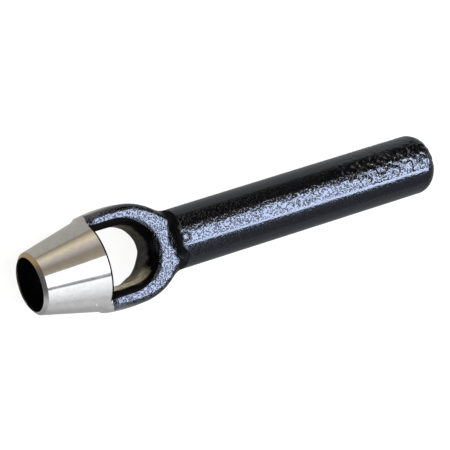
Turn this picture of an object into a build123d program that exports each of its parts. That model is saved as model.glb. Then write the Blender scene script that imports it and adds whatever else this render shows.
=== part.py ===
from build123d import *
from math import cos, radians, sin, sqrt, tan
import os

# A drop-forged arch punch, lying on its side. X runs along the tool from the cutting edge to the head,
# Y across the two arms of the arch, Z up through the window. The origin is the centre of the cutting edge.
# All sizes are in millimetres and degrees.

# Whole tool
overall_length = 141.0

# Nose, turned all over
bore_diameter = 16.0
bore_land_length = 8.0
bore_back_diameter = 17.2
bevel_width = 1.2
bevel_length = 0.9
nose_length = 19.4
nose_back_diameter = 27.2

# The turning tool runs out up a short ramp on the front of the arms
ramp_setback = 0.5
ramp_angle = 33.0

# Arch, outline on the parting plane
arch_width = 29.96
arch_thickness = 14.0
crown_station = 27.9
flank_radius = 46.0
shoulder_station = 31.5
shoulder_radius = 19.0
waist_radius = 16.0

# Arch, outline of the flat faces above and below
face_width = 25.14
face_crown_station = 26.9
face_flank_radius = 44.4
face_shoulder_station = 33.0
face_shoulder_radius = 15.0
face_waist_radius = 5.0
flank_height = 3.5
flank_draft = 4.0

# Window behind the nose, with a rim that opens out along the arms
window_width = 17.8
window_back = 38.85
rim_width = 21.8
rim_back = 39.2
rim_straight_end = 27.5
rim_height = 2.7

# Shank and its root on the arch
neck_diameter = 18.1
head_diameter = 18.75
root_station = 41.2
root_diameter = 13.8
root_hollow_radius = 4.6
root_crest_radius = 4.4
head_edge_radius = 5.0

# Allowances of the construction
burial = 0.6
waist_sink = 0.15
rounding_steps = 6
rim_steps = 3
last_rounding_angle = 75.0

half_thickness = arch_thickness / 2
neck_radius = neck_diameter / 2
ramp_start = nose_length - ramp_setback


def arc_about(centre, start, end):
    """The short arc from start to end about a centre."""
    radius = (start - centre).length
    middle = (start + end) / 2 - centre
    return ThreePointArc(start, centre + middle.normalized() * radius, end)


def mirrored(edge):
    """The same edge on the other side of the tool's axis."""
    return edge.mirror(Plane.XZ)


def blend(first, last, share):
    """A size part of the way from its first value to its last."""
    return first + (last - first) * share


def nose_radius(station):
    """Radius of the turned cone at a distance from the cutting edge."""
    front_radius = bore_diameter / 2 + bevel_width
    share = (station - bevel_length) / (nose_length - bevel_length)
    return blend(front_radius, nose_back_diameter / 2, share)


def turned_nose():
    """Cone with its cutting bevel, solid as yet."""
    outline = Polyline(
        (0, 0),
        (0, bore_diameter / 2),
        (bevel_length, nose_radius(bevel_length)),
        (nose_length, nose_back_diameter / 2),
        (nose_length, 0),
        close=True,
    )
    return revolve(Plane.XZ * make_face(outline), Axis.X)


def turning_limit():
    """What the turning leaves of the arms: everything behind the runout ramp."""
    reach = arch_width
    start = ramp_start - burial
    start_radius = nose_radius(ramp_start) - burial * tan(radians(ramp_angle))
    ramp_end = start + (reach - start_radius) / tan(radians(ramp_angle))
    outline = Polyline(
        (start, 0),
        (start, start_radius),
        (ramp_end, reach),
        (overall_length, reach),
        (overall_length, 0),
        close=True,
    )
    return revolve(Plane.XZ * make_face(outline), Axis.X)


def arch_outline(height, share):
    """Plan outline of the arch at a height, part of the way from the parting plane to the flat face."""
    half_width = blend(arch_width, face_width, share) / 2
    crown = blend(crown_station, face_crown_station, share)
    flank = blend(flank_radius, face_flank_radius, share)
    shoulder_x = blend(shoulder_station, face_shoulder_station, share)
    shoulder = blend(shoulder_radius, face_shoulder_radius, share)
    waist = blend(waist_radius, face_waist_radius, share)
    waist_half_width = sqrt(neck_radius**2 - height**2) - waist_sink

    flank_centre = Vector(crown, half_width - flank)
    front_x = ramp_start - burial
    front = Vector(front_x, flank_centre.Y + sqrt(flank**2 - (crown - front_x) ** 2))
    shoulder_start = Vector(shoulder_x, flank_centre.Y + sqrt(flank**2 - (shoulder_x - crown) ** 2))
    inward = (flank_centre - shoulder_start).normalized()
    shoulder_centre = shoulder_start + inward * shoulder
    drop = shoulder_centre.Y - (waist_half_width + waist)
    waist_x = shoulder_centre.X + sqrt((shoulder + waist) ** 2 - drop**2)
    waist_centre = Vector(waist_x, waist_half_width + waist)
    turn = shoulder_centre + (waist_centre - shoulder_centre).normalized() * shoulder
    waist_end = Vector(waist_x, waist_half_width)

    side = [
        arc_about(flank_centre, front, shoulder_start),
        arc_about(shoulder_centre, shoulder_start, turn),
        arc_about(waist_centre, turn, waist_end),
    ]
    back = Line(waist_end, Vector(waist_x, -waist_half_width))
    front_edge = Line(front, Vector(front_x, -front.Y))
    edges = side + [back, front_edge] + [mirrored(edge) for edge in side]
    return Pos(0, 0, height) * make_face(edges)


def arch_half():
    """Upper half of the arch: a drafted flank that rounds over to the flat face."""
    round_height = half_thickness - flank_height
    draft_share = flank_height * tan(radians(flank_draft)) * 2 / (arch_width - face_width)
    flank_top = arch_outline(flank_height, draft_share)
    rounding = [flank_top]
    for step in range(1, rounding_steps + 1):
        angle = radians(last_rounding_angle * step / rounding_steps)
        height = flank_height + round_height * sin(angle)
        rounding.append(arch_outline(height, blend(draft_share, 1, 1 - cos(angle))))
    rounding.append(arch_outline(half_thickness, 1))
    return loft([arch_outline(0, 0), flank_top]) + loft(rounding)


def window_outline(height, share):
    """Plan outline of the window, part of the way from its straight wall to its rim."""
    half_width = blend(window_width, rim_width, share) / 2
    straight_end = blend(window_back - window_width / 2, rim_straight_end, share)
    back = blend(window_back, rim_back, share)
    front_right = Vector(nose_length, half_width)
    back_right = Vector(straight_end, half_width)
    back_left = Vector(straight_end, -half_width)
    front_left = Vector(nose_length, -half_width)
    back_curve = EllipticalCenterArc(
        (straight_end, 0), back - straight_end, half_width, start_angle=-90, arc_size=180
    )
    edges = [
        Line(front_left, back_left),
        back_curve,
        Line(back_right, front_right),
        Line(front_right, front_left),
    ]
    return Pos(0, 0, height) * make_face(edges)


def window_rim():
    """Mouth of the window: rounded widely where the arms meet the nose, hardly at all at the shank."""
    start = half_thickness - rim_height
    sections = []
    for step in range(rim_steps + 1):
        angle = radians(last_rounding_angle * step / rim_steps)
        height = start + rim_height * sin(angle)
        sections.append(window_outline(height, 1 - cos(angle)))
    sections.append(window_outline(half_thickness + burial, 1 + burial / rim_height))
    return loft(sections)


def window():
    """Cutter for the whole window, the same above and below."""
    wall_height = arch_thickness - 2 * rim_height
    wall = extrude(window_outline(0, 0), wall_height / 2, both=True)
    rim = window_rim()
    return wall + rim + rim.mirror(Plane.XY)


def shank():
    """Round shank, from its shouldered root to the rounded head."""
    root = root_diameter / 2
    rise = neck_radius - root
    root_sum = root_hollow_radius + root_crest_radius
    turn_cosine = 1 - rise / root_sum
    turn_sine = sqrt(1 - turn_cosine**2)
    hollow_centre = Vector(root_station, root + root_hollow_radius)
    crest_station = root_station + root_sum * turn_sine
    crest_centre = Vector(crest_station, neck_radius - root_crest_radius)
    turn = hollow_centre + (crest_centre - hollow_centre).normalized() * root_hollow_radius
    start_station = rim_back + burial
    start = Vector(start_station, root)
    hollow_start = Vector(root_station, root)
    crest_end = Vector(crest_station, neck_radius)
    head_corner = Vector(overall_length, head_diameter / 2)
    edges = [
        Line(Vector(start_station, 0), start),
        Line(start, hollow_start),
        arc_about(hollow_centre, hollow_start, turn),
        arc_about(crest_centre, turn, crest_end),
        Line(crest_end, head_corner),
        Line(head_corner, Vector(overall_length, 0)),
        Line(Vector(overall_length, 0), Vector(start_station, 0)),
    ]
    bar = revolve(Plane.XZ * make_face(edges), Axis.X)
    head_edge = bar.edges().filter_by(GeomType.CIRCLE).sort_by(Axis.X)[-1]
    return fillet(head_edge, head_edge_radius)


def bore():
    """Cutter for the bore: a straight land behind the edge, then relief so that the waste falls free."""
    outline = Polyline(
        (-burial, 0),
        (-burial, bore_diameter / 2),
        (bore_land_length, bore_diameter / 2),
        (nose_length, bore_back_diameter / 2),
        (nose_length + burial, bore_back_diameter / 2),
        (nose_length + burial, 0),
        close=True,
    )
    return revolve(Plane.XZ * make_face(outline), Axis.X)


def arch():
    """Arms, crotch and window, with the front of the arms turned back by the lathe."""
    upper = arch_half()
    forging = upper + upper.mirror(Plane.XY)
    return (forging & turning_limit()) - window()


def arch_punch():
    """The whole tool, one forging."""
    return arch() + shank() + turned_nose() - bore()


os.makedirs("parts", exist_ok=True)
export_step(arch_punch(), "parts/arch_punch.step")
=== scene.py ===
import math

import bmesh
import bpy
import numpy as np
from mathutils import Matrix, Vector, noise


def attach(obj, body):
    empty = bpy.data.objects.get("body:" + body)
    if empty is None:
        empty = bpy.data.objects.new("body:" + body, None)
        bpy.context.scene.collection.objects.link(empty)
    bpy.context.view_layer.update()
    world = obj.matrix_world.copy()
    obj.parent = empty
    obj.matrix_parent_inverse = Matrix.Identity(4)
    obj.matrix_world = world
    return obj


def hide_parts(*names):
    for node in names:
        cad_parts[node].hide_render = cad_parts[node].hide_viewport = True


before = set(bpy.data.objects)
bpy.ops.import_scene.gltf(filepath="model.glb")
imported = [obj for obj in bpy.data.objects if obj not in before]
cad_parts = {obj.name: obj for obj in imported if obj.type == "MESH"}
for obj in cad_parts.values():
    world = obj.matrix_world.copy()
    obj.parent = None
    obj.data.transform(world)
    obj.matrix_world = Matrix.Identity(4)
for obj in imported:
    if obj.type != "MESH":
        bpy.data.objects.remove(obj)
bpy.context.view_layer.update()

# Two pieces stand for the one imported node: the turned nose, and the forged body behind it.
#
# Sizes are in millimetres in the part's own frame, and MM turns them into Blender's metres.
# Stations run along X from the cutting edge, and heights along Z. The near side is -Y, the side
# that the photograph shows more of, and the far side is +Y. Turns are angles round the axis, in
# degrees from +Z towards +Y. A pair gives the start and the end of a stretch or of a change.
MM = 0.001
NODE = "arch_punch"

# Sizes of the turned nose
BORE_RADIUS = 8.0
BORE_LAND = 8.0
BORE_BACK_RADIUS = 8.6
BEVEL_WIDTH = 1.2
BEVEL_LENGTH = 0.9
NOSE_LENGTH = 19.4
NOSE_FRONT_RADIUS = BORE_RADIUS + BEVEL_WIDTH
NOSE_BACK_RADIUS = 13.6
EDGE_BREAK = 0.06

# Mesh of the nose
NOSE_SIDES = 256
CONE_STEPS = 24
BACK_STEPS = 6
BORE_STEPS = 5
SHARP_ANGLE = 14.0

# Where the finishes of the nose meet: on its back face, round the rim of that face, whose dull
# black is painted shade over the black paint, and in the bore
BACK_STATIONS = (NOSE_LENGTH - 0.48, NOSE_LENGTH - 0.42)
BETWEEN_ARMS = (11.0, 11.3)
DULL_RADII = (13.2, 13.3)
SHADE_RIM_RADII = (13.3, 13.4)
BORE_RADII = (BORE_RADIUS + 0.02, BORE_RADIUS + 0.08)
BORE_STATIONS = (0.3, 0.6)

# Brown film on the far side of the bevel, and a small painted glint, white in the steel's colour,
# low on the near side of the cone
FILM_STATIONS = (0.85, 1.0)
FILM_SIDES = (1.0, 5.0)
GLINT_SPOT = (15.15, -11.01, 6.1)
GLINT_RADII = (0.12, 0.3)

# Sizes of the shank
LENGTH = 141.0
NECK_STATION = 46.9
NECK_RADIUS = 9.05
HEAD_RADIUS = 9.375
HEAD_EDGE = 5.0

# Arch
HALF_THICKNESS = 7.0
FACE_HEIGHTS = (4.0, 6.8)

# Where the lathe ran out on the arms, and how the arms blend into the cone there
RAMP_STATION = 18.9
RAMP_BLEND = 1.2
RAMP_RISE = 0.41
RAMP_SINK = 0.02
RAMP_INNER = 10.5
RAMP_HEIGHTS = (7.2, 6.2)

# Edge of the enamel on the arms: furthest back on the flank, nearer the nose towards the flat faces
PAINT_STATION = 21.0
PAINT_SWEEP = 1.1
PAINT_HEIGHT = 6.0
PAINT_LEAN = 0.35
PAINT_WANDER = 0.5
PAINT_BLUR = 0.06
PAINT_FLAT = (HALF_THICKNESS - 0.12, HALF_THICKNESS - 0.06)

# Mouth of the window on the flat faces, which is rounded at the shank and sinks along the far arm
MOUTH_HALF_WIDTH = 10.9
MOUTH_STRAIGHT_END = 27.5
MOUTH_BACK = 39.2
MOUTH_EDGE = 0.9
MOUTH_INNER = 0.6
MOUTH_DROP = 2.0
MOUTH_STEEPNESS = 3.0
MOUTH_STATIONS = (30.0, 41.0)
SHANK_STATIONS = (32.0, 37.0)
LIP_WIDTH = 1.0
LIP_DEPTH = 0.2
LIP_SIDES = (-2.0, 2.0)

# Wall of the window, and the web that the trimming left standing in from it on the near side
WALL_HALF_WIDTH = 8.9
WALL_STRAIGHT_END = 29.95
RIM_START = 4.3
RIM_CLOSING = 0.85
WEB_AT_ARMS = 1.0
WEB_AT_BACK = 0.5
WEB_AT_CORNERS = 0.5
WEB_FADE = 1.6
WEB_HEIGHTS = (2.5, -0.5)
WEB_STATIONS = (NOSE_LENGTH, NOSE_LENGTH + 0.4)
WEB_SIDES = (3.5, -3.5)

# Finish of the window: how far it reaches from the middle, its lip painted dull black as shade, and
# the dust in it
FINISH_REACH = (11.3, 11.6)
SHADED_WALL_HEIGHTS = (6.1, 6.6)
SHADE_LIP_SIDES = (4.0, 10.0)
SHADE_LIP_REACH = (11.45, 11.05)
SHADE_LIP_BLUR = (-0.15, 0.15)
DUST_HEIGHTS = (-1.5, 1.5)
DUST_WANDER = 6.0
DUST_LIFT = 4.0
DUST_SIDES = (-8.5, -4.0)
DUST_FAR_SHARE = 0.6

# How the flat faces round down to the back of the nose
FRONT_STATIONS = (21.9, NOSE_LENGTH - 0.3)
FRONT_DEPTH = 0.8

# Where the flat faces fall away to the shank, on the axis and at the corners
FALL_STATION = 42.1
FALL_SWEEP = 1.8
FALL_HALF_WIDTH = 5.6
FALL_LENGTH = 1.5
FALL_DEPTH = 0.45
FALL_STATIONS = (47.2, 46.0)
FALL_SIDES = (2.0, 4.0)
FALL_HEIGHTS = (4.8, 6.6)

# Painted shade: dull black in the groove in front of the shank's root, a little weaker on the near
# side
GROOVE_FRONT = (43.2, 44.4)
GROOVE_BACK = (45.8, 46.8)
GROOVE_WANDER = 1.2
GROOVE_TRAIL = 1.3
GROOVE_SIDES = (2.5, 5.0)
GROOVE_NEAR_SIDES = (-6.0, -3.5)
GROOVE_NEAR_SHARE = 0.9

# Lumps of the forged skin, in size and height, and where they start on the arms and near the head
FINE_LUMP = 0.75
FINE_HEIGHT = 0.05
COARSE_LUMP = 1.2
COARSE_OFFSET = 7.0
COARSE_HEIGHT = 0.26
COARSE_STATIONS = (98.0, 114.0)
LUMP_MEAN = 0.45
SKIN_STATIONS = (21.5, 22.5)
SKIN_LEAD = 1.5
SKIN_HEIGHTS = (6.5, 6.9)

# Where the lumps are lower, and how much of them is left there: on the arch's flanks, and on the
# far side and the near side of the shank
FLANK_STATIONS = (42.0, 45.0)
FLANK_HEIGHTS = (6.2, 6.8)
FLANK_SHARE = 0.3
FAR_STATIONS = (45.0, 48.0)
FAR_TURNS = (12.0, 28.0)
FAR_SHARE = 0.3
FAR_COARSE_TURNS = (24.0, 44.0)
FAR_COARSE_SHARE = 0.35
NEAR_STATION = 45.0
NEAR_TURNS = (-10.0, -14.0)
NEAR_END_TURNS = (-178.0, -165.0)
NEAR_SHARE = 0.08

# Orange peel of the enamel: its depth, and how much of it is left at the same three places
PEEL_DEPTH = 0.14
PEEL_STATIONS = (44.0, 47.0)
PEEL_FLANK_HEIGHTS = (6.3, 6.8)
PEEL_FLANK_SHARE = 0.1
PEEL_FAR_TURNS = (8.0, 20.0)
PEEL_FAR_SHARE = 0.12
PEEL_NEAR_TURNS = (-15.0, -11.0)
PEEL_NEAR_SHARE = 0.08

# Ring left by a hardness test on top of the neck: its depth in the mesh and in the shading
TEST_MARK = (47.2, 0.0)
TEST_MARK_RADIUS = 1.4
TEST_MARK_WIDTH = 0.3
TEST_MARK_DEPTH = 0.17
TEST_MARK_SHADING = 0.2

# Mesh of the forged piece
VOXEL = 0.335
SOFTENING = 0.5
SOFTENINGS = 3
WELD = 0.002
CUT_STATION = 17.0
BURY = 0.3
SLACK = 0.1

# How near a point of the even mesh has to be to a turned surface to count as part of it
NEAR_CONE = 0.16
NEAR_BURIED_CONE = 0.12
NEAR_BORE = 0.25
NEAR_BACK = 0.2
NEAR_SHANK = 0.35
ROUND_STATIONS = (47.0, 50.5)

# Colours of the finishes
ENAMEL_BLACK = (0.0015, 0.0015, 0.0018, 1)
ENAMEL_DUST = (0.014, 0.012, 0.009, 1)
ENAMEL_TINT = (0.68, 0.77, 1.0, 1)
# Dull black that stands for painted shade, and the black of the bore
DULL_SHADE_BLACK = (0.002, 0.002, 0.002, 1)
THIN_DUST = ((0.05, 0.045, 0.03, 1), (0.30, 0.27, 0.19, 1))
# Lighter dust for the near arm: the dust's own colour, lifted with painted light
PAINTED_LIGHT_DUST = ((0.30, 0.28, 0.20, 1), (0.72, 0.68, 0.54, 1))
STEEL_GREYS = ((0.36, 0.355, 0.35, 1), (0.47, 0.465, 0.46, 1))
BEVEL_FILM = (0.40, 0.30, 0.17, 1)
# White of the painted glint on the cone
GLINT_WHITE = (0.95, 0.95, 0.95, 1)

# Floor, half its width in metres, and its colours
FLOOR_HALF = 4.0
FLOOR_COLOUR = (0.16, 0.159, 0.156, 1)
FLOOR_GLOW = 0.91
GLOW_WHITE = (1.0, 1.0, 1.0, 1)
GLOW_WARM = (1.0, 0.93, 0.82, 1)

# Where the floor's glow shows in reflections: up to some way behind the nose, and how much of it
# on the near side, from the axis on, and on the far side beyond that
GLOW_STATIONS = (17.0, 42.0)
GLOW_SLANT = 0.4
GLOW_NEAR_SIDES, GLOW_NEAR = (-60.0, -12.0), (0.95, 0.3)
GLOW_AXIS_SIDES, GLOW_AXIS = (-10.0, 10.0), (0.0, 0.6)
GLOW_FAR_SIDES, GLOW_FAR = (0.0, 20.0), (0.0, 0.15)

# Lamps: their distance in metres, their places at a distance of 1, and how bright they look
REACH = 2.5
MAIN_ALONG = (0.24, 0.66)
MAIN_ACROSS = (-0.49, 0.19)
MAIN_SLOPE = 0.66
MAIN_RADIANCE = (9.8, 10.3, 11.2)
NOSE_ALONG = (-0.15, 0.22)
NOSE_TURNS = (12.0, -27.0)
NOSE_RADIANCE = (4.2, 4.2, 4.3)

# How bright the studio looks, by the turn: over the nose, and beyond the head
OVER_NOSE = (
    (-90, (1.30, 1.32, 1.34)),
    (-77, (1.75, 1.78, 1.82)),
    (-58, (2.45, 2.50, 2.57)),
    (-40, (2.95, 3.00, 3.08)),
    (-37.2, (3.05, 3.10, 3.15)),
    (-36.7, (0.05, 0.04, 0.08)),
    (11.5, (0.05, 0.04, 0.08)),
    (12, (0.60, 0.48, 0.32)),
    (28, (0.54, 0.40, 0.20)),
    (37, (0.52, 0.42, 0.32)),
    (47, (0.98, 0.88, 0.82)),
    (57, (1.50, 1.32, 1.10)),
    (66, (1.95, 1.75, 1.30)),
    (76, (1.40, 1.20, 0.86)),
    (85, (0.65, 0.53, 0.36)),
    (90, (0.45, 0.40, 0.33)),
)
BEYOND_HEAD = (
    (-90, (0.20, 0.20, 0.20)),
    (-62, (0.24, 0.24, 0.24)),
    (-42, (0.42, 0.42, 0.44)),
    (-30, (0.60, 0.60, 0.63)),
    (10, (0.30, 0.25, 0.18)),
    (24, (0.36, 0.27, 0.12)),
    (32, (0.20, 0.15, 0.07)),
    (42, (0.01, 0.01, 0.01)),
    (55, (0.01, 0.01, 0.01)),
    (70, (0.03, 0.028, 0.022)),
    (90, (0.13, 0.12, 0.09)),
)

# Directions, by their share along the tool, in which the second of them takes over from the first,
# and in which the dark behind the camera does
BEYOND_SHARES = (0.34, 0.42)
BEHIND_SHARES = (-0.45, -0.25)
BEHIND_CAMERA = (0.06, 0.06, 0.06, 1)

# The photograph's camera: its place, the directions of its frame, and its lens
CAMERA_PLACE = (-227.83, 10.81, 516.13)
CAMERA_RIGHT = (0.82866, -0.29065, 0.47837)
CAMERA_UP = (0.26177, 0.95663, 0.12778)
SENSOR = 36.0
LENS = 160.0
SHIFT = 0.5 / 450


def lerp(a, b, share):
    return a + (b - a) * share


def smoothstep(low, high, value):
    """Goes smoothly from 0 to 1 while the value goes from low to high."""
    share = np.clip((value - low) / (high - low), 0.0, 1.0)
    return share * share * (3.0 - 2.0 * share)


def cone_radius(station):
    """Outside of the turned cone at a distance from the cutting edge."""
    share = (station - BEVEL_LENGTH) / (NOSE_LENGTH - BEVEL_LENGTH)
    return lerp(NOSE_FRONT_RADIUS, NOSE_BACK_RADIUS, share)


def shank_radius(station):
    return lerp(NECK_RADIUS, HEAD_RADIUS, (station - NECK_STATION) / (LENGTH - NECK_STATION))


# Node helpers

class Nodes:
    """Short names for building the nodes of one material or world."""

    def __init__(self, owner, output, coordinates):
        owner.use_nodes = True
        self.owner = owner
        self.tree = owner.node_tree
        self.tree.nodes.clear()
        self.output = self.new(output)
        self.position = self.new("ShaderNodeTexCoord").outputs[coordinates]

    def new(self, kind, **settings):
        node = self.tree.nodes.new(kind)
        for key, value in settings.items():
            setattr(node, key, value)
        return node

    def join(self, source, target):
        """Links a socket to another one, or sets its value."""
        if isinstance(source, bpy.types.NodeSocket):
            self.tree.links.new(source, target)
        else:
            target.default_value = source

    def fill(self, node, sockets, values):
        """Joins each value to its socket, and gives the node back."""
        for value, socket in zip(values, sockets):
            self.join(value, socket)
        return node

    def compute(self, operation, a, b=0.0):
        node = self.new("ShaderNodeMath", operation=operation)
        return self.fill(node, node.inputs, (a, b)).outputs[0]

    def plus(self, a, b):
        return self.compute("ADD", a, b)

    def minus(self, a, b):
        return self.compute("SUBTRACT", a, b)

    def times(self, a, b):
        return self.compute("MULTIPLY", a, b)

    def larger(self, a, b):
        return self.compute("MAXIMUM", a, b)

    def absolute(self, a):
        return self.compute("ABSOLUTE", a)

    def length(self, a, b):
        return self.compute("SQRT", self.plus(self.times(a, a), self.times(b, b)))

    def between(self, value, low, high, first=0.0, last=1.0, shape="SMOOTHSTEP"):
        """Goes from first to last while the value goes from low to high."""
        node = self.new("ShaderNodeMapRange", interpolation_type=shape)
        return self.fill(node, node.inputs, (value, low, high, first, last)).outputs[0]

    def fade(self, value, low, high, first=0.0, last=1.0):
        """The same, with low and high in millimetres."""
        return self.between(value, low * MM, high * MM, first, last)

    def fade_out(self, value, low, high):
        """The same, going from 1 to 0."""
        return self.fade(value, low, high, 1.0, 0.0)

    def swing(self, turn, low, high, first, last):
        """The same for a turn, with low and high in degrees."""
        return self.between(turn, math.radians(low), math.radians(high), first, last)

    def mix(self, share, a, b):
        node = self.new("ShaderNodeMix", data_type="RGBA")
        sockets = (node.inputs[0], node.inputs[6], node.inputs[7])
        return self.fill(node, sockets, (share, a, b)).outputs[2]

    def mix_value(self, share, a, b):
        node = self.new("ShaderNodeMix", data_type="FLOAT")
        sockets = (node.inputs[0], node.inputs[2], node.inputs[3])
        return self.fill(node, sockets, (share, a, b)).outputs[0]

    def axes(self):
        node = self.new("ShaderNodeSeparateXYZ")
        return self.fill(node, node.inputs, (self.position,)).outputs

    def scaled(self, x, y, z):
        """The position, scaled along each axis."""
        node = self.new("ShaderNodeVectorMath", operation="MULTIPLY")
        return self.fill(node, node.inputs, (self.position, (x, y, z))).outputs[0]

    def distance(self, point):
        """How far the surface is from a point given in millimetres."""
        node = self.new("ShaderNodeVectorMath", operation="DISTANCE")
        place = [size * MM for size in point]
        return self.fill(node, node.inputs, (self.position, place)).outputs["Value"]

    def noise(self, scale, detail=3.0, rough=0.5, vector=None):
        """Noise with so many waves to the millimetre."""
        node = self.new("ShaderNodeTexNoise")
        self.join(vector or self.position, node.inputs["Vector"])
        node.inputs["Scale"].default_value = scale / MM
        node.inputs["Detail"].default_value = detail
        node.inputs["Roughness"].default_value = rough
        return node.outputs[0]

    def wander(self, size, scale, detail=2.0, rough=0.5):
        """Noise about zero, in metres for a size in millimetres."""
        return self.times(self.minus(self.noise(scale, detail, rough), 0.5), size * MM)

    def bump(self, height, depth, normal=None):
        node = self.new("ShaderNodeBump")
        self.join(height, node.inputs["Height"])
        node.inputs["Distance"].default_value = depth * MM
        node.inputs["Strength"].default_value = 1.0
        if normal:
            self.join(normal, node.inputs["Normal"])
        return node.outputs[0]

    def shader(self, **inputs):
        node = self.new("ShaderNodeBsdfPrincipled")
        for key, value in inputs.items():
            self.join(value, node.inputs[key.replace("_", " ")])
        return node.outputs[0]

    def blended(self, share, first, second):
        node = self.new("ShaderNodeMixShader")
        return self.fill(node, node.inputs, (share, first, second)).outputs[0]

    def finish(self, surface):
        self.join(surface, self.output.inputs["Surface"])
        return self.owner


def material_nodes(name):
    return Nodes(bpy.data.materials.new(name), "ShaderNodeOutputMaterial", "Object")


# Finishes

def enamel_relief(n):
    """Orange peel of a dipped coat over a forged skin, and the ring of the hardness test."""
    station, across, up = n.axes()
    turn = n.compute("ARCTAN2", across, up)
    near = n.swing(turn, *PEEL_NEAR_TURNS, PEEL_NEAR_SHARE, 1.0)
    far = n.swing(turn, *PEEL_FAR_TURNS, 1.0, PEEL_FAR_SHARE)
    flank = n.fade(n.absolute(up), *PEEL_FLANK_HEIGHTS, PEEL_FLANK_SHARE, 1.0)
    calm = n.mix_value(n.fade(station, *PEEL_STATIONS), flank, n.times(near, far))
    pits = n.between(n.noise(1.7, detail=1.5), 0.49, 0.63, 0.0, -1.0)
    peel = n.times(n.minus(n.noise(0.9, detail=1.0), 0.5), 0.5)
    skin = n.bump(n.times(n.plus(pits, peel), calm), PEEL_DEPTH)
    off_ring = n.minus(n.distance((*TEST_MARK, NECK_RADIUS)), TEST_MARK_RADIUS * MM)
    ring = n.fade(n.absolute(off_ring), 0.0, TEST_MARK_WIDTH, -1.0, 0.0)
    return n.bump(ring, TEST_MARK_SHADING, skin)


def enamel_surface(n):
    """Glossy black enamel, slightly dusty in places."""
    dust = n.between(n.noise(2.2, detail=2.0, rough=0.6), 0.62, 0.75)
    return n.shader(
        Base_Color=n.mix(dust, ENAMEL_BLACK, ENAMEL_DUST),
        Roughness=n.between(n.noise(0.8, detail=2.0), 0.3, 0.7, 0.05, 0.11),
        IOR=1.58,
        Specular_IOR_Level=0.75,
        Specular_Tint=ENAMEL_TINT,
        Normal=enamel_relief(n),
    )


def dull_shade_surface(n):
    """Dull black that hardly reflects: in the bore, and as painted shade on the nose's rim, in the
    window and in the groove.
    """
    return n.shader(Base_Color=DULL_SHADE_BLACK, Roughness=0.7, Specular_IOR_Level=0.03)


def dust_surface(n, painted_light_share):
    """Grey-brown dust and scale that the enamel hardly covers, streaked along the wall, with
    painted light making it lighter on the near arm.
    """
    streaks = n.noise(0.5, detail=4.0, rough=0.65, vector=n.scaled(1.0, 1.0, 4.0))
    share = n.between(streaks, 0.35, 0.65)
    colour = n.mix(painted_light_share, n.mix(share, *THIN_DUST), n.mix(share, *PAINTED_LIGHT_DUST))
    return n.shader(Base_Color=colour, Roughness=0.6, Normal=n.bump(streaks, 0.05))


def steel_colour(n, cloud):
    """Cloudy grey steel, with the brown film on the bevel and a painted glint."""
    station, across, _ = n.axes()
    grain = n.times(n.minus(n.noise(1.0, detail=5.0, rough=0.85), 0.5), 1.8)
    colour = n.mix(n.plus(cloud, grain), *STEEL_GREYS)
    film = n.times(n.fade_out(station, *FILM_STATIONS), n.fade(across, *FILM_SIDES))
    colour = n.mix(film, colour, BEVEL_FILM)
    # A painted glint: white in the steel's colour
    return n.mix(n.fade_out(n.distance(GLINT_SPOT), *GLINT_RADII), colour, GLINT_WHITE)


def steel_surface(n):
    """Turned and polished steel, whose fine rings draw highlights out along the cone."""
    rings = n.noise(6.0, detail=4.0, rough=0.7, vector=n.scaled(1.0, 0.02, 0.02))
    scratches = n.noise(1.2, detail=3.0, rough=0.6, vector=n.scaled(6.0, 0.15, 0.15))
    normal = n.bump(n.plus(rings, scratches), 0.0006)
    cloud = n.noise(0.12, detail=3.0, rough=0.6)
    colour = steel_colour(n, cloud)
    sharp = n.shader(
        Base_Color=colour,
        Metallic=1.0,
        Roughness=n.between(cloud, 0.3, 0.7, 0.18, 0.22),
        Anisotropic=1.0,
        Anisotropic_Rotation=0.25,
        Tangent=n.new("ShaderNodeTangent", direction_type="RADIAL", axis="X").outputs[0],
        Normal=normal,
    )
    broad = n.shader(Base_Color=colour, Metallic=1.0, Roughness=0.62, Normal=normal)
    return n.blended(0.2, sharp, broad)


def nose_material():
    """Bright steel outside, a back face enamelled black whose rim between the arms is dull black as
    painted shade, and a dull black bore.
    """
    n = material_nodes("nose_finish")
    station, across, up = n.axes()
    radius = n.length(across, up)
    between_arms = n.fade_out(n.absolute(across), *BETWEEN_ARMS)
    black = n.larger(between_arms, n.fade_out(radius, *DULL_RADII))
    back = n.times(n.fade(station, *BACK_STATIONS), black)
    bored = n.times(n.fade_out(radius, *BORE_RADII), n.fade(station, *BORE_STATIONS))
    # The rim's dull black is painted shade over the black paint
    coat = n.blended(n.fade(radius, *SHADE_RIM_RADII), enamel_surface(n), dull_shade_surface(n))
    outside = n.blended(back, steel_surface(n), coat)
    return n.finish(n.blended(bored, outside, dull_shade_surface(n)))


def bare_share(n, station, across, up):
    """Where the lathe ran out and took the enamel off the arms, though not off their flat faces."""
    rise = n.times(up, 1 / (PAINT_HEIGHT * MM))
    sweep = n.times(n.times(rise, rise), PAINT_SWEEP * MM)
    wander = n.wander(PAINT_WANDER, scale=0.8)
    lean = n.times(n.compute("SIGN", across), PAINT_LEAN * MM)
    edge = n.plus(n.plus(n.plus(station, sweep), wander), lean)
    in_front = n.fade_out(edge, PAINT_STATION - PAINT_BLUR, PAINT_STATION + PAINT_BLUR)
    return n.times(in_front, n.fade_out(n.absolute(up), *PAINT_FLAT))


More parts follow.
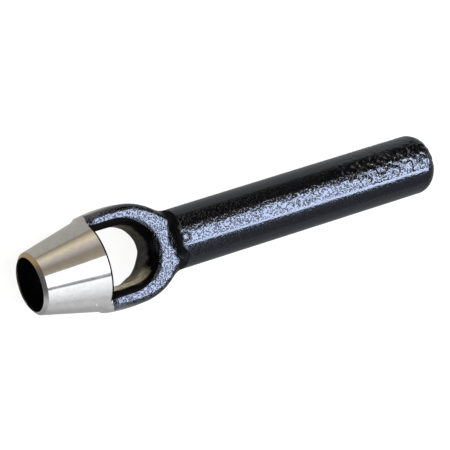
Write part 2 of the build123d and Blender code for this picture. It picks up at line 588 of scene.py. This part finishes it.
def with_window(n, coat, station, across, up):
    """The coat, with dull black as painted shade on the window's lip and upper wall, and dust lower
    down, which painted light lifts on the near arm.
    """
    behind = n.larger(n.minus(station, MOUTH_STRAIGHT_END * MM), 0.0)
    reach = n.length(behind, across)
    inside = n.fade_out(reach, *FINISH_REACH)
    near_arm = n.fade_out(across, *DUST_SIDES)
    ragged = n.plus(up, n.wander(DUST_WANDER, scale=0.35, detail=3.0, rough=0.6))
    ragged = n.minus(ragged, n.times(near_arm, DUST_LIFT * MM))
    lip_start, lip_end = SHADE_LIP_REACH
    lip_edge = n.fade(n.absolute(across), *SHADE_LIP_SIDES, lip_start * MM, lip_end * MM)
    lip = n.fade_out(n.minus(reach, lip_edge), *SHADE_LIP_BLUR)
    wall = n.times(inside, n.fade_out(up, *SHADED_WALL_HEIGHTS))
    painted_shade = n.times(n.fade(ragged, *DUST_HEIGHTS), n.larger(wall, lip))
    dusty = n.times(inside, n.fade_out(ragged, *DUST_HEIGHTS))
    dusty = n.times(dusty, n.mix_value(near_arm, DUST_FAR_SHARE, 1.0))
    # Dull black here is painted shade
    coat = n.blended(painted_shade, coat, dull_shade_surface(n))
    return n.blended(dusty, coat, dust_surface(n, near_arm))


def groove_shade_share(n, station, across):
    """Where dull black is painted as shade in the groove in front of the shank's root, with wavy
    edges.
    """
    wavy = n.plus(station, n.wander(GROOVE_WANDER, scale=0.6))
    trail = n.fade(n.absolute(across), *GROOVE_SIDES, 0.0, GROOVE_TRAIL * MM)
    groove = n.fade_out(n.minus(wavy, trail), *GROOVE_BACK)
    groove = n.times(n.fade(wavy, *GROOVE_FRONT), groove)
    return n.times(groove, n.fade(across, *GROOVE_NEAR_SIDES, GROOVE_NEAR_SHARE, 1.0))


def body_material():
    """Black enamel, bare steel on the front of the arms, and painted shade as dull black in the
    window and the groove, with dust in the window.
    """
    n = material_nodes("body_finish")
    station, across, up = n.axes()
    coat = with_window(n, enamel_surface(n), station, across, up)
    # Painted shade in the groove
    coat = n.blended(groove_shade_share(n, station, across), coat, dull_shade_surface(n))
    return n.finish(n.blended(bare_share(n, station, across, up), coat, steel_surface(n)))


def mirrored_share(n, along, across):
    """How much of the floor's glow shows in reflections, at each place on the floor."""
    stations = n.minus(along, n.times(n.absolute(across), GLOW_SLANT))
    near = n.fade(across, *GLOW_NEAR_SIDES, *GLOW_NEAR)
    axis = n.fade(across, *GLOW_AXIS_SIDES, *GLOW_AXIS)
    far = n.fade(across, *GLOW_FAR_SIDES, *GLOW_FAR)
    return n.fade(stations, *GLOW_STATIONS, n.larger(near, axis), far)


def floor_material():
    """Pale floor, which looks white, keeps the object's shadow and shows in its reflections."""
    n = material_nodes("pale_floor")
    along, across, _ = n.axes()
    surface = n.shader(Base_Color=FLOOR_COLOUR, Roughness=0.9, Specular_IOR_Level=0.0)
    path = n.new("ShaderNodeLightPath").outputs
    glossy = path["Is Glossy Ray"]
    seen = n.larger(path["Is Camera Ray"], n.times(glossy, mirrored_share(n, along, across)))
    seen = n.larger(seen, path["Is Transmission Ray"])
    warm = n.times(n.fade(across, *GLOW_FAR_SIDES), glossy)
    glow = n.new("ShaderNodeEmission")
    n.join(n.mix(warm, GLOW_WHITE, GLOW_WARM), glow.inputs["Color"])
    n.join(n.times(seen, FLOOR_GLOW), glow.inputs["Strength"])
    both = n.new("ShaderNodeAddShader")
    return n.finish(n.fill(both, both.inputs, (surface, glow.outputs[0])).outputs[0])


# Mesh of the nose

def new_object(name, mesh, material):
    thing = bpy.data.objects.new(name, mesh)
    bpy.context.scene.collection.objects.link(thing)
    mesh.materials.clear()
    mesh.materials.append(material)
    return thing


def shares(steps):
    """Shares of the way at the inner ends of so many equal steps."""
    return [step / steps for step in range(1, steps)]


def nose_profile():
    """Section of the nose as a closed loop of (station, radius), with its corners broken."""
    bevel = [
        (0.0, BORE_RADIUS),
        (0.02, BORE_RADIUS + EDGE_BREAK),
        (BEVEL_LENGTH * 0.5, lerp(BORE_RADIUS, NOSE_FRONT_RADIUS, 0.5)),
        (BEVEL_LENGTH - 0.03, NOSE_FRONT_RADIUS - 0.04),
    ]
    stations = [lerp(BEVEL_LENGTH, NOSE_LENGTH, share) for share in shares(CONE_STEPS)]
    stations = [BEVEL_LENGTH + EDGE_BREAK, *stations, NOSE_LENGTH - 0.08]
    cone = [(station, cone_radius(station)) for station in stations]
    rim = [(NOSE_LENGTH - 0.02, NOSE_BACK_RADIUS - 0.03), (NOSE_LENGTH, NOSE_BACK_RADIUS - 0.1)]
    radii = [lerp(NOSE_BACK_RADIUS, BORE_BACK_RADIUS, share) for share in shares(BACK_STEPS)]
    back = [(NOSE_LENGTH, radius) for radius in radii]
    relief_end = NOSE_LENGTH - EDGE_BREAK
    corner = [(NOSE_LENGTH, BORE_BACK_RADIUS + EDGE_BREAK), (relief_end, BORE_BACK_RADIUS)]
    relief = [
        (lerp(relief_end, BORE_LAND, share), lerp(BORE_BACK_RADIUS, BORE_RADIUS, share))
        for share in [*shares(BORE_STEPS), 1.0]
    ]
    land = [(BORE_LAND * (1 - share), BORE_RADIUS) for share in shares(BORE_STEPS)]
    return bevel + cone + rim + back + corner + relief + land


def face_outwards(mesh):
    bm = bmesh.new()
    bm.from_mesh(mesh)
    bmesh.ops.recalc_face_normals(bm, faces=bm.faces)
    bm.to_mesh(mesh)
    bm.free()


def turned_nose():
    """The bright cone with its bevel and bore, turned round its axis."""
    profile = nose_profile()
    rings = len(profile)
    points, faces = [], []
    for side in range(NOSE_SIDES):
        angle = 2 * math.pi * side / NOSE_SIDES
        across, up = math.sin(angle), math.cos(angle)
        points += [(x * MM, radius * across * MM, radius * up * MM) for x, radius in profile]
        this_side, next_side = side * rings, (side + 1) % NOSE_SIDES * rings
        for ring in range(rings):
            after = (ring + 1) % rings
            faces.append((this_side + ring, this_side + after, next_side + after, next_side + ring))
    mesh = bpy.data.meshes.new("turned_nose")
    mesh.from_pydata(points, [], faces)
    face_outwards(mesh)
    mesh.shade_smooth()
    nose = new_object("turned_nose", mesh, nose_material())
    mesh.set_sharp_from_angle(angle=math.radians(SHARP_ANGLE))
    return nose


# Mesh of the forged body

def welded_copy(node, name):
    """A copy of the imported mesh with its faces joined, without the front of the nose."""
    mesh = node.data.copy()
    mesh.name = name
    bm = bmesh.new()
    bm.from_mesh(mesh)
    bmesh.ops.remove_doubles(bm, verts=bm.verts, dist=WELD * MM)
    cut = bmesh.ops.bisect_plane(
        bm,
        geom=bm.verts[:] + bm.edges[:] + bm.faces[:],
        plane_co=(CUT_STATION * MM, 0, 0),
        plane_no=(-1, 0, 0),
        clear_outer=True,
    )
    rim = [edge for edge in cut["geom_cut"] if isinstance(edge, bmesh.types.BMEdge)]
    bmesh.ops.bridge_loops(bm, edges=rim)
    bmesh.ops.recalc_face_normals(bm, faces=bm.faces)
    bm.to_mesh(mesh)
    bm.free()
    return mesh


def remeshed(thing):
    """Gives an object an even mesh of small squares, slightly softened."""
    remesh = thing.modifiers.new("even", "REMESH")
    remesh.mode = "VOXEL"
    remesh.voxel_size = VOXEL * MM
    remesh.use_smooth_shade = True
    soften = thing.modifiers.new("soften", "SMOOTH")
    soften.factor = SOFTENING
    soften.iterations = SOFTENINGS
    graph = bpy.context.evaluated_depsgraph_get()
    mesh = bpy.data.meshes.new_from_object(thing.evaluated_get(graph))
    thing.modifiers.clear()
    thing.data = mesh
    return mesh


def coordinates(mesh):
    flat = np.empty(len(mesh.vertices) * 3, np.float32)
    mesh.vertices.foreach_get("co", flat)
    return flat.reshape(-1, 3).astype(float) / MM


def set_coordinates(mesh, points):
    mesh.vertices.foreach_set("co", (points * MM).astype(np.float32).ravel())
    mesh.update()


def normals(mesh):
    flat = np.empty(len(mesh.vertices) * 3, np.float32)
    mesh.vertex_normals.foreach_get("vector", flat)
    return flat.reshape(-1, 3).astype(float)


def round_shank(points):
    """Puts the shank's skin back on its true round, which the even mesh blurs."""
    x, y, z = points.T
    radius = np.hypot(y, z)
    safe_radius = np.maximum(radius, 1e-6)
    edge_start = LENGTH - HEAD_EDGE
    over_edge = x > edge_start
    corner = HEAD_RADIUS - HEAD_EDGE
    on_edge = over_edge & (radius > corner)
    wanted = shank_radius(x)
    near = np.abs(radius - wanted) < NEAR_SHANK
    share = smoothstep(*ROUND_STATIONS, x) * ~over_edge
    factor = np.where(near, 1 + (wanted / safe_radius - 1) * share, 1.0)
    angle = np.arctan2(x - edge_start, radius - corner)
    edge_x = edge_start + HEAD_EDGE * np.sin(angle)
    scale = (corner + HEAD_EDGE * np.cos(angle)) / safe_radius
    target = points.copy()
    target[:, 1] = y * factor
    target[:, 2] = z * factor
    target[on_edge, 0] = edge_x[on_edge]
    target[on_edge, 1] = (y * scale)[on_edge]
    target[on_edge, 2] = (z * scale)[on_edge]
    target[over_edge & (radius <= corner), 0] = LENGTH
    return target


def moved_radially(points, shift):
    """Moves points away from the tool's axis."""
    factor = 1 + shift / np.maximum(np.hypot(points[:, 1], points[:, 2]), 1e-6)
    target = points.copy()
    target[:, 1] *= factor
    target[:, 2] *= factor
    return target


def buried_front(points):
    """Sinks the rest of the nose's wall into the turned nose, so that only the arms come out."""
    x, y, z = points.T
    radius = np.hypot(y, z)
    in_front = x < NOSE_LENGTH + SLACK
    on_cone = in_front & (np.abs(radius - cone_radius(x)) < NEAR_CONE)
    on_bore = in_front & (radius < BORE_BACK_RADIUS + NEAR_BORE)
    on_back = (np.abs(x - NOSE_LENGTH) < NEAR_BACK) & (radius < NOSE_BACK_RADIUS + SLACK)
    shift = np.where(on_cone, -BURY, 0.0) + np.where(on_bore, BURY + SLACK, 0.0)
    target = moved_radially(points, shift)
    target[on_back, 0] -= BURY
    return target


def blended_ramp(points):
    """Rounds the corner where the arms rise out of the cone, as the nose of a turning tool does."""
    x, y, z = points.T
    radius = np.hypot(y, z)
    cone = cone_radius(x)
    reach = x - (RAMP_STATION - RAMP_BLEND)
    rise = RAMP_RISE * reach**2 / (4 * RAMP_BLEND)
    lift = np.maximum(cone - RAMP_SINK + rise - radius, 0.0)
    on_arm = smoothstep(*RAMP_HEIGHTS, np.abs(z)) * (np.abs(y) > RAMP_INNER)
    on_ramp = (reach > 0) & (x < RAMP_STATION + RAMP_BLEND)
    close = on_ramp & (radius > cone - BURY - NEAR_BURIED_CONE)
    return moved_radially(points, lift * on_arm * close)


def mouth_distance(x, y):
    """How far a point of the flat faces is outside the mouth of the window."""
    back = MOUTH_BACK - MOUTH_STRAIGHT_END
    share = np.hypot((x - MOUTH_STRAIGHT_END) / back, y / MOUTH_HALF_WIDTH)
    return np.where(x > MOUTH_STRAIGHT_END, (share - 1) * back, np.abs(y) - MOUTH_HALF_WIDTH)


def softened_faces(points):
    """Rounds the mouth's edge and both ends of the flat faces, at the nose and at the shank."""
    x, y, z = points.T
    height = np.abs(z)
    outside = mouth_distance(x, y)
    at_shank = smoothstep(*SHANK_STATIONS, x)
    near_face = smoothstep(*FACE_HEIGHTS, height)

    inset = np.clip((outside + MOUTH_INNER) / (MOUTH_EDGE + MOUTH_INNER), 0, 1)
    arc = HALF_THICKNESS - MOUTH_DROP * (1 - np.sqrt(1 - (1 - inset) ** 2))
    arc -= MOUTH_STEEPNESS * np.clip(-MOUTH_INNER - outside, 0, 1)
    limit = lerp(HALF_THICKNESS, arc, at_shank)
    by_mouth = (x > MOUTH_STATIONS[0]) & (x < MOUTH_STATIONS[1])
    rounded = np.where(by_mouth, np.minimum(height, limit), height)

    front = FRONT_DEPTH * smoothstep(*FRONT_STATIONS, x) * near_face
    lip = LIP_DEPTH * (1 - np.clip(outside / LIP_WIDTH, 0, 1)) ** 2 * (1 - at_shank) * near_face
    lip *= smoothstep(*LIP_SIDES, y)

    fall_start = FALL_STATION + FALL_SWEEP * (np.abs(y) / FALL_HALF_WIDTH) ** 2
    fall = smoothstep(0, FALL_LENGTH, x - fall_start) * smoothstep(*FALL_STATIONS, x)
    fall = FALL_DEPTH * (fall * smoothstep(*FALL_SIDES, np.abs(y)))
    target = points.copy()
    target[:, 2] = np.sign(z) * (rounded - front - lip - fall * smoothstep(*FALL_HEIGHTS, height))
    return target


def trimmed_window(points):
    """Lets the trimmed web stand in from the near side's wall, which goes straight down from it."""
    x, y, z = points.T
    behind = np.maximum(x - WALL_STRAIGHT_END, 0.0)
    reach = np.maximum(np.hypot(behind, y), 1e-6)
    sideways = np.abs(y) / reach
    wall_back = WALL_STRAIGHT_END + WALL_HALF_WIDTH
    rim = lerp(MOUTH_BACK - wall_back, MOUTH_HALF_WIDTH - WALL_HALF_WIDTH, sideways)
    depth = np.clip((-z - RIM_START) / (HALF_THICKNESS - RIM_START), 0, 1)
    opened = RIM_CLOSING * rim * (1 - np.sqrt(1 - depth**2))
    at_corners = WEB_AT_CORNERS * 2 * sideways * behind / reach
    web = lerp(WEB_AT_BACK, WEB_AT_ARMS, sideways) + at_corners
    inward = opened + web * smoothstep(*WEB_HEIGHTS, z)
    inward *= smoothstep(rim + WEB_FADE, rim, reach - WALL_HALF_WIDTH)
    inward *= smoothstep(*WEB_STATIONS, x)
    inward *= smoothstep(*WEB_SIDES, y)
    target = points.copy()
    target[:, 0] -= inward * behind / reach
    target[:, 1] -= inward * y / reach
    return target


def lumps(points, size, offset=0.0):
    return np.array([noise.noise(Vector(point / size + offset)) for point in points])


def lump_height(points):
    """Height of the skin: fine lumps, pits towards the head, and the ring of the hardness test."""
    x, y, z = points.T
    turn = np.degrees(np.arctan2(y, z))
    flank = lerp(FLANK_SHARE, 1.0, smoothstep(*FLANK_HEIGHTS, np.abs(z)))
    far = smoothstep(*FAR_TURNS, turn) * smoothstep(*FAR_STATIONS, x)
    fine = lumps(points, FINE_LUMP) * lerp(flank, 1.0, smoothstep(*FLANK_STATIONS, x))
    fine = FINE_HEIGHT * (fine * lerp(1.0, FAR_SHARE, far) - LUMP_MEAN)
    coarse = lumps(points, COARSE_LUMP, COARSE_OFFSET) - LUMP_MEAN
    coarse = coarse * lerp(1.0, FAR_COARSE_SHARE, smoothstep(*FAR_COARSE_TURNS, turn))
    skin = fine + COARSE_HEIGHT * smoothstep(*COARSE_STATIONS, x) * coarse
    near = smoothstep(*NEAR_TURNS, turn) * smoothstep(*NEAR_END_TURNS, turn)
    calm = lerp(1.0, NEAR_SHARE, near * (x > NEAR_STATION))
    off_ring = np.hypot(x - TEST_MARK[0], y - TEST_MARK[1]) - TEST_MARK_RADIUS
    mark = TEST_MARK_DEPTH * np.exp(-((off_ring / TEST_MARK_WIDTH) ** 2)) * (z > 0)
    return calm * skin - mark


def lumpy(points, outwards):
    """Moves the skin of the enamelled parts in and out."""
    lead = SKIN_LEAD * smoothstep(*SKIN_HEIGHTS, np.abs(points[:, 2]))
    height = lump_height(points) * smoothstep(*SKIN_STATIONS, points[:, 0] + lead)
    moved = points + outwards * height[:, None]
    moved[:, 0] = np.minimum(moved[:, 0], LENGTH)
    return moved


def forged_body():
    """The arch and the shank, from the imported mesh, with the surface of a forging."""
    mesh = welded_copy(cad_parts[NODE], "forged_body")
    body = new_object("forged_body", mesh, body_material())
    mesh = remeshed(body)
    points = round_shank(coordinates(mesh))
    points = trimmed_window(softened_faces(blended_ramp(buried_front(points))))
    set_coordinates(mesh, points)
    set_coordinates(mesh, lumpy(points, normals(mesh)))
    mesh.shade_smooth()
    return body


# Stage

def floor_height(x):
    """Height of the floor at x, both in metres. The cone's base and the head rest on it."""
    head_station = LENGTH - HEAD_EDGE
    slope = (NOSE_BACK_RADIUS - shank_radius(head_station)) / (head_station - NOSE_LENGTH)
    return slope * (x - NOSE_LENGTH * MM) - NOSE_BACK_RADIUS * MM


def floor():
    front, back = -FLOOR_HALF, FLOOR_HALF
    corners = ((front, front), (back, front), (back, back), (front, back))
    mesh = bpy.data.meshes.new("floor")
    mesh.from_pydata([(x, y, floor_height(x)) for x, y in corners], [], [(0, 1, 2, 3)])
    new_object("floor", mesh, floor_material())


def softbox(name, centre, along, across, size, radiance):
    """A rectangular lamp, facing the object, with its size in metres and how bright it looks."""
    lamp = bpy.data.lights.new(name, "AREA")
    lamp.shape = "RECTANGLE"
    lamp.size, lamp.size_y = size
    peak = max(radiance)
    lamp.color = [part / peak for part in radiance]
    lamp.energy = peak * math.pi * size[0] * size[1]
    thing = bpy.data.objects.new(name, lamp)
    bpy.context.scene.collection.objects.link(thing)
    x = Vector(along).normalized()
    z = x.cross(Vector(across)).normalized()
    if z.dot(Vector(centre)) < 0:
        z = -z
    turn = Matrix((x, z.cross(x), z)).transposed().to_4x4()
    thing.matrix_world = Matrix.Translation(centre) @ turn
    thing.visible_camera = False


def main_box():
    """The large lamp above and beyond the arch, which tilts down towards the head."""
    start, end = MAIN_ALONG
    low, high = MAIN_ACROSS
    middle = (start + end) / 2
    centre = Vector((middle, (low + high) / 2, 1 - MAIN_SLOPE * middle)) * REACH
    size = ((end - start) * math.hypot(1, MAIN_SLOPE) * REACH, (high - low) * REACH)
    softbox("main_box", centre, (1, 0, -MAIN_SLOPE), (0, 1, 0), size, MAIN_RADIANCE)


def nose_box():
    """The lamp over the nose, which fills a stretch along the tool and a range of turns."""
    start, end = NOSE_ALONG
    first, last = NOSE_TURNS
    along = (start + end) / 2
    rest = math.sqrt(1 - along * along)
    turn = math.radians((first + last) / 2)
    span = math.radians(abs(last - first))
    centre = Vector((along, rest * math.sin(turn), rest * math.cos(turn))) * REACH
    across = (0, math.cos(turn), -math.sin(turn))
    size = ((end - start) * REACH, 2 * math.tan(span / 2) * REACH)
    softbox("nose_box", centre, (1, 0, 0), across, size, NOSE_RADIANCE)


def sky_colour(n, around, stops):
    """Colour of the studio by the turn, from stops at -90 to 90 degrees."""
    node = n.new("ShaderNodeValToRGB")
    elements = node.color_ramp.elements
    for index, (angle, colour) in enumerate(stops):
        place = (angle + 90) / 180
        stop = elements[index] if index < 2 else elements.new(place)
        stop.position = place
        stop.color = (*colour, 1)
    return n.fill(node, node.inputs, (around,)).outputs[0]


def surroundings():
    """The rest of the studio: bright on the near side, warm and dim on the far side."""
    world = bpy.data.worlds.new("studio")
    bpy.context.scene.world = world
    n = Nodes(world, "ShaderNodeOutputWorld", "Generated")
    along, across, up = n.axes()
    turn = n.compute("ARCTAN2", across, up)
    around = n.between(turn, -math.pi / 2, math.pi / 2, shape="LINEAR")
    beyond = n.between(along, *BEYOND_SHARES, shape="LINEAR")
    behind = n.between(along, *BEHIND_SHARES, 1.0, 0.0, shape="LINEAR")
    sky = n.mix(beyond, sky_colour(n, around, OVER_NOSE), sky_colour(n, around, BEYOND_HEAD))
    background = n.new("ShaderNodeBackground")
    n.join(n.mix(behind, sky, BEHIND_CAMERA), background.inputs["Color"])
    n.finish(background.outputs[0])


def camera():
    """The photograph's view: from above the nose, with the tool running up to the right."""
    lens = bpy.data.cameras.new("camera")
    lens.sensor_width = SENSOR
    lens.lens = LENS
    lens.shift_x = -SHIFT
    lens.shift_y = SHIFT
    lens.clip_start, lens.clip_end = 0.01, 50.0
    thing = bpy.data.objects.new("camera", lens)
    bpy.context.scene.collection.objects.link(thing)
    right = Vector(CAMERA_RIGHT).normalized()
    back = right.cross(Vector(CAMERA_UP)).normalized()
    turn = Matrix((right, back.cross(right), back)).transposed().to_4x4()
    thing.matrix_world = Matrix.Translation(Vector(CAMERA_PLACE) * MM) @ turn
    bpy.context.scene.camera = thing


nose = turned_nose()
body = forged_body()
for piece, slot in ((nose, "bright_steel"), (body, "black_enamel")):
    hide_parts(NODE)
    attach(piece, "root")
floor()
main_box()
nose_box()
surroundings()
camera()
bpy.context.scene.view_settings.view_transform = "Standard"
